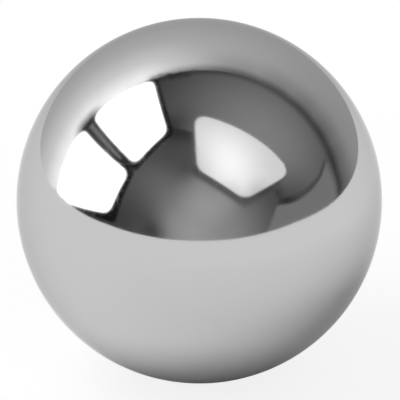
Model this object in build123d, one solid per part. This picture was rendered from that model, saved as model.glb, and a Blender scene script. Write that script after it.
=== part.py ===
from build123d import *
import os

# A loose bearing ball: one solid piece of through-hardened chrome steel. It is headed from a slug
# of wire, ground and then lapped to a true sphere, so it has no flat, seam, bore or core.
# Millimetres, +Z up, with the origin at the centre of the ball.

# Driving dimension: one inch, a stock diameter of loose balls.
BALL_DIAMETER = 25.4


def steel_ball():
    """The whole object: a full sphere about the origin, with its poles on the Z axis."""
    ball = Sphere(radius=BALL_DIAMETER / 2)
    ball.label = "steel_ball"
    return ball


def main():
    os.makedirs("parts", exist_ok=True)
    for piece in [steel_ball()]:
        export_step(piece, f"parts/{piece.label}.step")


main()
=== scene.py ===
import bmesh
import bpy
import math
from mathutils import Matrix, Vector


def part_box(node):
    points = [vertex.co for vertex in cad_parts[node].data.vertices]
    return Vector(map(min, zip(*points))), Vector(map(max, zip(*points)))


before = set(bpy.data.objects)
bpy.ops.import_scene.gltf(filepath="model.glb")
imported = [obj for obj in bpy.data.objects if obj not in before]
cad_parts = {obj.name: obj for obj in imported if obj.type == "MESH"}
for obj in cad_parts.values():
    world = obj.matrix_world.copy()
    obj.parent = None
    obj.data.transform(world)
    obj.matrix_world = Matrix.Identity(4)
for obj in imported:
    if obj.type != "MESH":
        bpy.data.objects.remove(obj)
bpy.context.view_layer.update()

# A polished steel ball on a white floor, in a studio of soft light panels. Metres, +Z up, with the
# ball's centre at the origin. The camera looks along +Y and downwards.
#
# The ball is a mirror, so its look is the studio's. Each panel stands where the ball mirrors it:
# its corners are pixels of the 400 x 400 photograph, and studio_point finds where they look.
# Levels of light are shares of white, as seen before the steel's own grey dims them.

# The ball, from the frame
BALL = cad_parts["steel_ball"]
LOWEST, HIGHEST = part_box("steel_ball")
BALL_RADIUS = (HIGHEST.z - LOWEST.z) / 2
FLOOR_HEIGHT = LOWEST.z

# The ball's mesh: the widest gap that is closed at its seam, and how often its facets are divided
SEAM_GAP = 1e-4 * BALL_RADIUS
FACET_LEVELS = 1

# The ball's outline in the photograph, in pixels
PICTURE_SIDE = 400
OUTLINE_CENTRE = (199.28, 200.63)
OUTLINE_RADIUS = 182.9

# The camera. The floor's edge, as the ball mirrors it, gives its elevation. The sensor's width is
# in millimetres, and the outline's slope is that of a ray that just touches the ball.
CAMERA_ELEVATION = math.radians(23.2)
CAMERA_DISTANCE = 10 * BALL_RADIUS
CAMERA_CLIP = 0.1 * BALL_RADIUS
CAMERA_RIGHT = Vector((1, 0, 0))
CAMERA_UP = Vector((0, math.sin(CAMERA_ELEVATION), math.cos(CAMERA_ELEVATION)))
CAMERA_BACK = Vector((0, -math.cos(CAMERA_ELEVATION), math.sin(CAMERA_ELEVATION)))
SENSOR_WIDTH = 36.0
OUTLINE_SLOPE = BALL_RADIUS / math.sqrt(CAMERA_DISTANCE ** 2 - BALL_RADIUS ** 2)

# Distances of the studio's parts from the ball's centre, from the furthest to the nearest
SHELL_REACH = 1.5
SHADE_REACH = 1.45
SIDE_REACH = 1.42
WALL_REACH = 0.85
GAP_REACH = 0.735
STRIP_REACH = 0.72
FRAME_REACH = 0.705
SOFTBOX_REACH = 0.68
LIP_REACH = 0.65

# How finely the studio is divided: the shell round its axis, a panel from its middle to its
# outline, the longest step along that outline, and each rounded corner
SHELL_SEGMENTS = 128
PANEL_RINGS = 12
PANEL_STEP = 0.055
CORNER_STEPS = 6

# The shell is a dome over the floor. The backdrop is the part of it beyond a plane that stands just
# behind the ball's centre and leans back, and the room is the rest.
BACKDROP_AZIMUTH = math.radians(-3.9)
BACKDROP_ELEVATION = math.radians(-18.3)
BACKDROP_AXIS = Vector((
    math.sin(BACKDROP_AZIMUTH) * math.cos(BACKDROP_ELEVATION),
    math.cos(BACKDROP_AZIMUTH) * math.cos(BACKDROP_ELEVATION),
    math.sin(BACKDROP_ELEVATION),
))
BACKDROP_OFFSET = 0.028 * SHELL_REACH

# Corners of the panels, in pixels of the photograph. The lips are strips as bright as the floor.
# Their upper edges are its mirrored edge at the left and the right, and their lower edges lie
# under it.
UPPER_SOFTBOX = [(154.2, 78.7), (169.1, 132.8), (135.7, 166.6), (91.5, 117.1)]
UPPER_FRAME = [(159, 75.5), (176, 134.5), (136, 174.5), (93, 120)]
LOWER_SOFTBOX = [(83.3, 126.4), (130.8, 172.8), (110.4, 214.9), (55.6, 199.4)]
LOWER_FRAME = [(84, 124), (137, 172), (116.5, 225.5), (64, 201)]
SOFTBOX_GAP = [(81.5, 127), (91, 115), (139, 166), (129, 178)]
GAP_STRIP = [(89.3, 126.5), (92.7, 123.5), (122.5, 156.8), (119.7, 159.2)]
FRONT_SOFTBOX = [(192.6, 112.9), (195.8, 169.5), (244.2, 200.8), (291.3, 173.8), (275.6, 152.8)]
FRONT_FRAME = [(189, 122), (188.5, 176), (245, 212), (291, 177)]
FRONT_WALL = [(110, 120), (166, 124.5), (198, 133), (280.2, 199), (262.2, 245), (110, 245)]
LEFT_LIP = [
    (54, 186.8), (70.5, 205), (84.5, 214.4), (108.5, 224.8), (136, 233.5),
    (150.5, 236.6), (163, 238.7), (163, 280), (54, 270),
]
RIGHT_LIP = [
    (241, 237.8), (253, 235.7), (266, 232.5), (295, 222.3), (327, 206.8),
    (327, 262), (241, 280),
]
SIDE_WALL = [
    (266, 205.6), (291.7, 201.8), (309.2, 190), (322.7, 172),
    (326.3, 152.5), (341, 188), (330, 240), (248, 243),
]
SIDE_SHADE = [
    (270, 200), (279, 196.5), (290, 196), (305, 186.5), (320.5, 170),
    (324, 149), (340, 184), (330, 240), (257, 243),
]

# Lines that glows follow, in pixels: the outer edges of the two bright softboxes, the end of the
# gap between them, the arc where the room meets the backdrop, the top of the front wall, and the
# lowest corner of the front softbox
SOFTBOX_RIM = [(138, 86), (125, 93), (111, 102), (94, 116), (80, 135), (70, 155), (63, 176)]
UPPER_RIM = [(143, 83), (134, 88), (125, 93), (118, 97.5)]
GAP_END = [(92, 119), (90, 121.5), (87.5, 124.5), (85, 127.5)]
ARC_END = [(153, 79), (160, 76.6), (166, 75.8)]
ARC_BEND = [(174.5, 73.9), (180, 73)]
ARC_MIDDLE = [(172, 74.3), (180, 73), (187, 72), (194, 71)]
ARC_FOOT = [(174, 76.3), (180, 75.8), (186, 75.3)]
ARC_SIDE = [(240, 77), (275, 91), (301, 111), (319, 134), (331, 160), (339, 185)]
CEILING_LINE = [(170, 131), (178, 132), (187, 133.5), (195, 135)]
FRONT_SOFTBOX_FOOT = [(230, 195), (244, 203), (258, 195)]

# Levels of light. A glow is (pixels, near, far, gain): its gain is whole within near degrees of any
# of its pixels, and fades to nothing at far degrees. Spill is glows that lie over the rest. The
# room,
# backdrop and walls are no lamps: their levels are painted light, and a glow with a negative gain is
# painted shade.
ROOM_LEVEL = 0.05
ROOM_GLOWS = [
    ([(260, 139)], 0, 82, 0.31),
    ([(285, 205)], 0, 29, -0.12),
    ([(171, 128)], 0, 12, -0.05),
    ([(182, 121)], 0, 16, -0.04),
    ([(276, 191)], 0, 8.5, -0.07),
    (ARC_FOOT, 0, 4.2, -0.045),
]
BACKDROP_LEVEL = 0.51
BACKDROP_GLOWS = [
    ([(325, 151)], 0, 62, -0.15),
    (ARC_SIDE, 0, 26, -0.22),
    ([(111, 128)], 0, 178, 0.39),
]
BACKDROP_SPILL = [
    (SOFTBOX_RIM, 0, 42, 0.37),
    (SOFTBOX_RIM, 0, 20, 0.4),
    (UPPER_RIM, 0, 7, 0.3),
    (ARC_END, 1, 3.7, -0.5),
    (ARC_BEND, 0.5, 3.2, -0.12),
    (ARC_MIDDLE, 0.5, 3.2, -0.19),
    (GAP_END, 0, 9, -1.4),
]
FRONT_LEVEL = 0.12
FRONT_GLOWS = [
    ([(151, 230)], 9, 46, 0.28),
    ([(216, 233)], 2, 44, 0.29),
    ([(136, 226)], 4, 36, -0.29),
    ([(213, 189)], 5, 25, 0.2),
    ([(172, 136)], 0, 15, -0.03),
    (CEILING_LINE, 0, 9, -0.05),
    ([(156, 233)], 0, 10, -0.075),
    ([(170, 224)], 0, 12, 0.03),
    ([(190, 172)], 0, 8, -0.05),
]
SIDE_LEVEL = 0.28
SIDE_SHADE_LEVEL = 0.11
SIDE_SHADE_GLOWS = [([(287, 200)], 0, 11, -0.06)]
LIP_LEVEL = 1.0
GAP_LEVEL = 0.05
GAP_GLOWS = [([(128, 163)], 0, 8, -0.045)]
STRIP_LEVEL = 0.25
FRAME_LEVEL = 0.01
FRONT_FRAME_LEVEL = 0.15
FRONT_FRAME_GLOWS = [([(275, 188)], 3, 24, -0.1), ([(193, 171)], 0, 7, -0.05)]
SOFTBOX_LEVEL = 4.0
FRONT_SOFTBOX_LEVEL = 1.11
FRONT_SOFTBOX_GLOWS = [
    ([(221, 166)], 0, 35, 0.66),
    ([(187, 179)], 0, 34, -0.6),
    (FRONT_SOFTBOX_FOOT, 0, 13, -0.3),
]

# The edge between room and backdrop: the angle in degrees over which each side dims towards it, and
# the share of its level that is left there
ROOM_EDGE = (5.4, 0.54)
BACKDROP_EDGE = (7.4, 0.41)

# Radii of the panels' corners, one for all of them or one for each
UPPER_SOFTBOX_RADII = (0.06, 0.06, 0.07, 0.07)
LOWER_SOFTBOX_RADII = (0.07, 0.068, 0.07, 0.06)
FRONT_SOFTBOX_RADII = (0.11, 0.06, 0.074, 0.085, 0.1)
FRAME_RADIUS = 0.045
SIDE_RADIUS = 0.12

# Where panels start to thin out, as a share of the way from the middle to the outline
SOFTBOX_FADE_SHARE = 0.9
FRONT_SOFTBOX_FADE_SHARE = 0.93
FRAME_FADE_SHARE = 0.9
FRONT_FRAME_FADE_SHARE = 0.78
FRONT_FADE_SHARE = 0.93
SIDE_FADE_SHARE = 0.72
SIDE_SHADE_FADE_SHARE = 0.72
GAP_FADE_SHARE = 0.8

# The steel: the two greys that its haze mixes, its tint at grazing angles, and how rough it is where
# the haze's noise is low and where it is high
STEEL_DARK = (0.555, 0.555, 0.557, 1)
STEEL_LIGHT = (0.570, 0.570, 0.573, 1)
STEEL_EDGE = (0.75, 0.75, 0.75, 1)
ROUGHNESS_LEAST = 0.045
ROUGHNESS_MOST = 0.065
HAZE_SIZE = 5e-3
HAZE_DETAIL = 4.0
HAZE_LOW = 0.3
HAZE_HIGH = 0.7

# The hairline marks that lapping leaves: the turns of the axes that they run about, their size, the
# roughness that they add, and the levels of noise at which they start and are whole. They fade out
# between two shares of the radius along their axis.
MARK_TURNS = ((0.0, 0.0, 0.3), (0.4, 0.0, 1.9), (0.3, 1.4, 0.2))
MARK_WIDTH = 0.045e-3
MARK_LENGTH = 5e-3
MARK_DEPTH = 0.1e-6
MARK_ROUGHNESS = 0.04
MARK_START = 0.68
MARK_WHOLE = 0.80
MARK_FADE_SHARE = 0.6
MARK_END_SHARE = 0.85

# The floor: its whiteness, the ring over which it fades to plain white, the share of the shadow
# that the camera sees, and a painted shade in its colour about the place where the ball touches it
FLOOR_WHITE = 0.95
FADE_START = 1.5 * BALL_RADIUS
FADE_END = 6 * BALL_RADIUS
SHADOW_SHARE = 0.15
PAINTED_SHADE_WHITE = 0.57
PAINTED_SHADE_CENTRE = Vector((-0.05, -0.25, 0)) * BALL_RADIUS
PAINTED_SHADE_START = 0.1 * BALL_RADIUS
PAINTED_SHADE_END = 0.9 * BALL_RADIUS

# Behind the ball the flat floor's mirrored white is painted dimmer, as if it swept up into the
# dimmer backdrop. Between these distances it dims by this share, most of all straight behind, and a
# higher power makes the painted shade narrower.
SWEEP_SHADE_NEAR = 2 * BALL_RADIUS
SWEEP_SHADE_FAR = 14 * BALL_RADIUS
SWEEP_SHADE_SHARE = 0.43
SWEEP_SHADE_POWER = 12

# The world beyond the floor
PLAIN_WHITE = (1, 1, 1, 1)


def add(tree, kind, inputs=(), **settings):
    """A shader node with these settings, whose inputs are set to values or linked to sockets."""
    made = tree.nodes.new("ShaderNode" + kind)
    for name, value in settings.items():
        setattr(made, name, value)
    for key, value in dict(inputs).items():
        if isinstance(value, bpy.types.NodeSocket):
            tree.links.new(value, made.inputs[key])
        else:
            made.inputs[key].default_value = value
    return made


def maths(tree, operation, first, second=0.0):
    """The result of one step of arithmetic on numbers or sockets."""
    return add(tree, "Math", {0: first, 1: second}, operation=operation).outputs["Value"]


def eased(tree, value, start, end, first, last):
    """Goes smoothly from first to last as value goes from start to end."""
    inputs = {"Value": value, "From Min": start, "From Max": end, "To Min": first, "To Max": last}
    return add(tree, "MapRange", inputs, interpolation_type="SMOOTHSTEP").outputs["Result"]


def new_material(name):
    """A material, its empty node tree, and the socket that takes its surface."""
    material = bpy.data.materials.new(name)
    material.use_nodes = True
    tree = material.node_tree
    tree.nodes.clear()
    return material, tree, add(tree, "OutputMaterial").inputs["Surface"]


def studio_point(pixel, reach):
    """The point, reach metres from the ball's centre, that the ball mirrors at a pixel."""
    scale = OUTLINE_SLOPE / OUTLINE_RADIUS
    across = (pixel[0] - OUTLINE_CENTRE[0]) * scale
    upwards = (OUTLINE_CENTRE[1] - pixel[1]) * scale
    ray = (CAMERA_RIGHT * across + CAMERA_UP * upwards - CAMERA_BACK).normalized()
    camera = CAMERA_BACK * CAMERA_DISTANCE
    middle = -ray.dot(camera)
    depth = math.sqrt(max(BALL_RADIUS ** 2 - CAMERA_DISTANCE ** 2 + middle ** 2, 0))
    spot = camera + ray * (middle - depth)
    bounce = ray.reflect(spot.normalized())
    lift = spot.dot(bounce)
    return spot + bounce * (math.sqrt(lift ** 2 + reach ** 2 - BALL_RADIUS ** 2) - lift)


# Materials

def lapping_marks(tree, place, turn):
    """Sparse hairline arcs about one axis of the ball, where it cuts thin sheets of noise."""
    size = (MARK_WIDTH, MARK_LENGTH, MARK_LENGTH)
    inputs = {"Vector": place, "Rotation": turn, "Scale": size}
    sheets = add(tree, "Mapping", inputs, vector_type="TEXTURE").outputs["Vector"]
    noise = add(tree, "TexNoise", {"Vector": sheets, "Scale": 1.0, "Detail": 0.0}).outputs["Fac"]
    lines = eased(tree, noise, MARK_START, MARK_WHOLE, 0.0, 1.0)
    # Near the axis the sheets lie flat against the ball, so the marks fade out there.
    along = maths(tree, "ABSOLUTE", add(tree, "SeparateXYZ", {"Vector": sheets}).outputs["X"])
    widths = BALL_RADIUS / MARK_WIDTH
    kept = eased(tree, along, MARK_FADE_SHARE * widths, MARK_END_SHARE * widths, 1.0, 0.0)
    return maths(tree, "MULTIPLY", lines, kept)


def polished_steel():
    """Lapped chrome steel: a mirror with a faint haze and hairline arcs in several directions."""
    material, tree, surface = new_material("polished_steel")
    place = add(tree, "TexCoord").outputs["Object"]
    marks = lapping_marks(tree, place, MARK_TURNS[0])
    for turn in MARK_TURNS[1:]:
        marks = maths(tree, "MAXIMUM", marks, lapping_marks(tree, place, turn))
    haze_inputs = {"Vector": place, "Scale": 1 / HAZE_SIZE, "Detail": HAZE_DETAIL}
    haze = add(tree, "TexNoise", haze_inputs).outputs["Fac"]
    smooth = eased(tree, haze, HAZE_LOW, HAZE_HIGH, ROUGHNESS_LEAST, ROUGHNESS_MOST)
    roughness = maths(tree, "ADD", smooth, maths(tree, "MULTIPLY", marks, MARK_ROUGHNESS))
    greys = {"Factor": haze, "A": STEEL_DARK, "B": STEEL_LIGHT}
    mottle = add(tree, "Mix", greys, data_type="RGBA")
    scratch = {"Height": marks, "Strength": 1.0, "Distance": MARK_DEPTH}
    bump = add(tree, "Bump", scratch, invert=True)
    steel = add(tree, "BsdfPrincipled", {
        "Base Color": mottle.outputs["Result"],
        "Metallic": 1.0,
        "Roughness": roughness,
        "Specular Tint": STEEL_EDGE,
        "Normal": bump.outputs["Normal"],
    })
    tree.links.new(steel.outputs["BSDF"], surface)
    return material


def painted_sweep_shade(tree, place, away):
    """The share of white that the mirrored floor keeps under a painted shade behind the ball, as if
    it swept up into the backdrop.
    """
    behind = maths(tree, "DIVIDE", add(tree, "SeparateXYZ", {"Vector": place}).outputs["Y"], away)
    bell = maths(tree, "POWER", maths(tree, "MAXIMUM", behind, 0.0), SWEEP_SHADE_POWER)
    lowest = maths(tree, "SUBTRACT", 1.0, maths(tree, "MULTIPLY", bell, SWEEP_SHADE_SHARE))
    return eased(tree, away, SWEEP_SHADE_NEAR, SWEEP_SHADE_FAR, 1.0, lowest)


def floor_paint():
    """A white floor with a painted shade in its colour where the ball touches it. It keeps the
    ball's shadow near by, and further out it is plain white, which a painted shade dims behind the
    ball in the mirror.
    """
    material, tree, surface = new_material("floor_paint")
    material.cycles.emission_sampling = "NONE"
    place = add(tree, "TexCoord").outputs["Object"]
    away = add(tree, "VectorMath", {0: place}, operation="LENGTH").outputs["Value"]
    path = add(tree, "LightPath").outputs
    far = eased(tree, away, FADE_START, FADE_END, 0.0, 1.0)
    paler = eased(tree, away, FADE_START, FADE_END, 1 - SHADOW_SHARE, 1.0)
    seen = maths(tree, "MULTIPLY", path["Is Camera Ray"], paler)
    bounced = maths(tree, "MAXIMUM", path["Is Glossy Ray"], path["Is Transmission Ray"])
    mirrored = maths(tree, "MULTIPLY", bounced, far)
    share = maths(tree, "MAXIMUM", seen, mirrored)
    touch = {0: place, 1: PAINTED_SHADE_CENTRE + Vector((0, 0, FLOOR_HEIGHT))}
    apart = add(tree, "VectorMath", touch, operation="DISTANCE").outputs["Value"]
    # Painted shade: the floor's colour darkens towards the place where the ball touches it.
    whiteness = eased(tree, apart, PAINTED_SHADE_START, PAINTED_SHADE_END, PAINTED_SHADE_WHITE, FLOOR_WHITE)
    paint = add(tree, "BsdfDiffuse", {"Color": whiteness}).outputs["BSDF"]
    # Painted shade: the mirrored white dims behind the ball, while the camera sees plain white.
    strength = maths(tree, "MAXIMUM", painted_sweep_shade(tree, place, away), path["Is Camera Ray"])
    white = add(tree, "Emission", {"Strength": strength}).outputs["Emission"]
    mixed = add(tree, "MixShader", {0: share, 1: paint, 2: white}).outputs["Shader"]
    tree.links.new(mixed, surface)
    return material


def glow_level(tree, place, reach, glow):
    """The level that a glow adds, from the distance to the nearest of its pixels' places."""
    pixels, near, far, gain = glow
    away = None
    for pixel in pixels:
        inputs = {0: place, 1: studio_point(pixel, reach)}
        gap = add(tree, "VectorMath", inputs, operation="DISTANCE").outputs["Value"]
        away = maths(tree, "MINIMUM", away, gap) if away else gap
    chords = [2 * reach * math.sin(math.radians(angle) / 2) for angle in (near, far)]
    return eased(tree, away, *chords, gain, 0.0)


def with_glows(tree, place, reach, level, glows):
    """A level with these glows added to it."""
    for glow in glows:
        level = maths(tree, "ADD", glow_level(tree, place, reach, glow), level)
    return level


def edge_share(tree, place, angle, share):
    """The share of light that is left within an angle of the backdrop's edge: 1 further off."""
    inputs = {0: place, 1: BACKDROP_AXIS}
    along = add(tree, "VectorMath", inputs, operation="DOT_PRODUCT").outputs["Value"]
    gap = maths(tree, "ABSOLUTE", maths(tree, "SUBTRACT", along, BACKDROP_OFFSET))
    return eased(tree, gap, 0.0, SHELL_REACH * math.sin(math.radians(angle)), share, 1.0)


def light_material(name, reach, level, glows=(), edge=None, spill=(), fade=None):
    """A surface that gives off light. It dims towards the backdrop's edge if it has an edge, apart
    from the spill that falls on it. If it has a fade, it thins out from that share of the way to its
    own outline."""
    material, tree, surface = new_material(name)
    place = add(tree, "TexCoord").outputs["Object"]
    level = with_glows(tree, place, reach, level, glows)
    if edge:
        level = maths(tree, "MULTIPLY", edge_share(tree, place, *edge), level)
    level = with_glows(tree, place, reach, level, spill)
    light = add(tree, "Emission", {"Strength": level}).outputs["Emission"]
    if fade:
        rim = add(tree, "Attribute", attribute_name="rim").outputs["Fac"]
        clear = add(tree, "BsdfTransparent").outputs["BSDF"]
        thin = eased(tree, rim, fade, 1.0, 0.0, 1.0)
        light = add(tree, "MixShader", {0: thin, 1: light, 2: clear}).outputs["Shader"]
    tree.links.new(light, surface)
    return material


# Pieces of the studio

def stage_piece(name, shape, material, shown=False):
    """Makes a studio object of a bmesh. Unless it is shown, the camera looks through it."""
    mesh = bpy.data.meshes.new(name)
    shape.to_mesh(mesh)
    shape.free()
    mesh.materials.append(material)
    piece = bpy.data.objects.new(name, mesh)
    bpy.context.scene.collection.objects.link(piece)
    piece.visible_camera = shown


def make_floor():
    """A round floor under the ball, as wide as the shell."""
    shape = bmesh.new()
    bmesh.ops.create_circle(shape, cap_ends=True, segments=SHELL_SEGMENTS, radius=SHELL_REACH)
    bmesh.ops.translate(shape, vec=(0, 0, FLOOR_HEIGHT), verts=shape.verts)
    stage_piece("floor", shape, floor_paint(), shown=True)


def shell_part(name, beyond, material):
    """The part of a dome over the floor beyond the backdrop's plane, or on this side of it."""
    shape = bmesh.new()
    division = {"u_segments": SHELL_SEGMENTS, "v_segments": SHELL_SEGMENTS // 2}
    bmesh.ops.create_uvsphere(shape, radius=SHELL_REACH, **division)
    cuts = [
        (Vector((0, 0, FLOOR_HEIGHT)), Vector((0, 0, 1))),
        (BACKDROP_AXIS * BACKDROP_OFFSET, BACKDROP_AXIS if beyond else -BACKDROP_AXIS),
    ]
    for point, kept_side in cuts:
        everything = shape.verts[:] + shape.edges[:] + shape.faces[:]
        cut = {"plane_co": point, "plane_no": kept_side, "clear_inner": True}
        bmesh.ops.bisect_plane(shape, geom=everything, **cut)
    stage_piece(name, shape, material)


def outline_of(corners, radii):
    """A closed line through corners, each rounded by a curve that starts its radius from it."""
    line = []
    for i, (corner, radius) in enumerate(zip(corners, radii)):
        before = (corners[i - 1] - corner).normalized() * radius
        after = (corners[(i + 1) % len(corners)] - corner).normalized() * radius
        curve = [step / CORNER_STEPS for step in range(CORNER_STEPS + 1)] if radius else [0]
        line += [corner + before * (1 - t) ** 2 + after * t ** 2 for t in curve]
    points = []
    for here, there in zip(line, line[1:] + line[:1]):
        steps = math.ceil((there - here).length / PANEL_STEP)
        points += [here.lerp(there, step / steps) for step in range(steps)]
    return points


def panel(name, pixels, reach, material, rounding=0.0):
    """A panel at an even distance from the ball, with its corners where the ball mirrors these
    pixels, and one radius for all of them or one for each. Its rim attribute goes from 0 at its
    middle to 1 at its outline."""
    radii = rounding if isinstance(rounding, tuple) else [rounding] * len(pixels)
    outline = outline_of([studio_point(pixel, reach) for pixel in pixels], radii)
    centre = sum(outline, Vector()) / len(outline)
    shape = bmesh.new()
    rim = shape.verts.layers.float.new("rim")
    inner = [shape.verts.new(centre.normalized() * reach)] * len(outline)
    for ring in range(1, PANEL_RINGS + 1):
        places = [centre.lerp(point, ring / PANEL_RINGS) for point in outline]
        outer = [shape.verts.new(place.normalized() * reach) for place in places]
        for vertex in outer:
            vertex[rim] = ring / PANEL_RINGS
        for i in range(len(outline)):
            # The innermost faces have one vertex twice, and are triangles without it.
            face = dict.fromkeys((inner[i - 1], outer[i - 1], outer[i], inner[i]))
            shape.faces.new(list(face))
        inner = outer
    stage_piece(name, shape, material)


def make_shell():
    """The dark room above and before the ball, and the paler backdrop behind it."""
    # The room and backdrop are no lamps: their glow is painted light, and their dims painted shade.
    room = light_material("room_light", SHELL_REACH, ROOM_LEVEL, ROOM_GLOWS, ROOM_EDGE)
    shell_part("room", False, room)
    backdrop = light_material(
        "backdrop_light", SHELL_REACH, BACKDROP_LEVEL, BACKDROP_GLOWS, BACKDROP_EDGE,
        BACKDROP_SPILL)
    shell_part("backdrop", True, backdrop)


def make_walls():
    """The front and side walls, the floor's lips, and the gap between the two bright softboxes."""
    # The walls are no lamps: their glow is painted light, and their dimmer parts painted shade.
    front = light_material(
        "front_light", WALL_REACH, FRONT_LEVEL, FRONT_GLOWS, fade=FRONT_FADE_SHARE)
    panel("front_wall", FRONT_WALL, WALL_REACH, front)
    # The side shade is a dark panel of painted shade along the side wall's edge.
    shade = light_material(
        "side_shade_light", SHADE_REACH, SIDE_SHADE_LEVEL, SIDE_SHADE_GLOWS,
        fade=SIDE_SHADE_FADE_SHARE)
    panel("side_shade", SIDE_SHADE, SHADE_REACH, shade, SIDE_RADIUS)
    side = light_material("side_light", SIDE_REACH, SIDE_LEVEL, fade=SIDE_FADE_SHARE)
    panel("side_wall", SIDE_WALL, SIDE_REACH, side, SIDE_RADIUS)
    lip = light_material("lip_light", LIP_REACH, LIP_LEVEL)
    panel("left_lip", LEFT_LIP, LIP_REACH, lip)
    panel("right_lip", RIGHT_LIP, LIP_REACH, lip)
    gap = light_material("gap_light", GAP_REACH, GAP_LEVEL, GAP_GLOWS, fade=GAP_FADE_SHARE)
    panel("softbox_gap", SOFTBOX_GAP, GAP_REACH, gap)
    strip = light_material("strip_light", STRIP_REACH, STRIP_LEVEL)
    panel("gap_strip", GAP_STRIP, STRIP_REACH, strip)


def make_softboxes():
    """Two bright softboxes at the left and a dimmer one in front, each before a dark frame."""
    black = light_material("frame_light", FRAME_REACH, FRAME_LEVEL, fade=FRAME_FADE_SHARE)
    panel("upper_frame", UPPER_FRAME, FRAME_REACH, black, FRAME_RADIUS)
    panel("lower_frame", LOWER_FRAME, FRAME_REACH, black, FRAME_RADIUS)
    bright = light_material(
        "softbox_light", SOFTBOX_REACH, SOFTBOX_LEVEL, fade=SOFTBOX_FADE_SHARE)
    panel("upper_softbox", UPPER_SOFTBOX, SOFTBOX_REACH, bright, UPPER_SOFTBOX_RADII)
    panel("lower_softbox", LOWER_SOFTBOX, SOFTBOX_REACH, bright, LOWER_SOFTBOX_RADII)
    dim = light_material(
        "front_frame_light", FRAME_REACH, FRONT_FRAME_LEVEL, FRONT_FRAME_GLOWS,
        fade=FRONT_FRAME_FADE_SHARE)
    panel("front_frame", FRONT_FRAME, FRAME_REACH, dim, FRAME_RADIUS)
    front = light_material(
        "front_softbox_light", SOFTBOX_REACH, FRONT_SOFTBOX_LEVEL, FRONT_SOFTBOX_GLOWS,
        fade=FRONT_SOFTBOX_FADE_SHARE)
    panel("front_softbox", FRONT_SOFTBOX, SOFTBOX_REACH, front, FRONT_SOFTBOX_RADII)


def make_world():
    """A plain white world, which the camera sees beyond the floor."""
    world = bpy.data.worlds.new("white")
    world.use_nodes = True
    world.cycles.sampling_method = "NONE"
    background = world.node_tree.nodes["Background"]
    background.inputs["Color"].default_value = PLAIN_WHITE
    background.inputs["Strength"].default_value = 1.0
    bpy.context.scene.world = world


def make_camera():
    """A camera that shows the ball's outline where the photograph has it."""
    data = bpy.data.cameras.new("camera")
    half_slope = OUTLINE_SLOPE * (PICTURE_SIDE / 2) / OUTLINE_RADIUS
    data.sensor_width = SENSOR_WIDTH
    data.lens = SENSOR_WIDTH / 2 / half_slope
    data.shift_x = (PICTURE_SIDE / 2 - OUTLINE_CENTRE[0]) / PICTURE_SIDE
    data.shift_y = (OUTLINE_CENTRE[1] - PICTURE_SIDE / 2) / PICTURE_SIDE
    data.clip_start = CAMERA_CLIP
    camera = bpy.data.objects.new("camera", data)
    camera.location = CAMERA_BACK * CAMERA_DISTANCE
    camera.rotation_euler = (-CAMERA_BACK).to_track_quat("-Z", "Y").to_euler()
    bpy.context.scene.collection.objects.link(camera)
    bpy.context.scene.camera = camera


# The ball

def finish_ball():
    """Joins the CAD mesh's seam, makes its facets finer and truly round, and polishes it."""
    seam = BALL.modifiers.new("seam", "WELD")
    seam.merge_threshold = SEAM_GAP
    facets = BALL.modifiers.new("facets", "SUBSURF")
    facets.subdivision_type = "SIMPLE"
    facets.levels = FACET_LEVELS
    facets.render_levels = FACET_LEVELS
    facets.use_custom_normals = False
    sphere = BALL.modifiers.new("sphere", "CAST")
    sphere.cast_type = "SPHERE"
    sphere.factor = 1.0
    sphere.use_radius_as_size = False
    sphere.size = BALL_RADIUS
    normals = BALL.modifiers.new("normals", "NORMAL_EDIT")
    normals.mode = "RADIAL"
    normals.mix_limit = math.pi
    BALL.material_slots[0].material = polished_steel()


finish_ball()
make_floor()
make_shell()
make_walls()
make_softboxes()
make_world()
make_camera()
bpy.context.scene.view_settings.view_transform = "Standard"
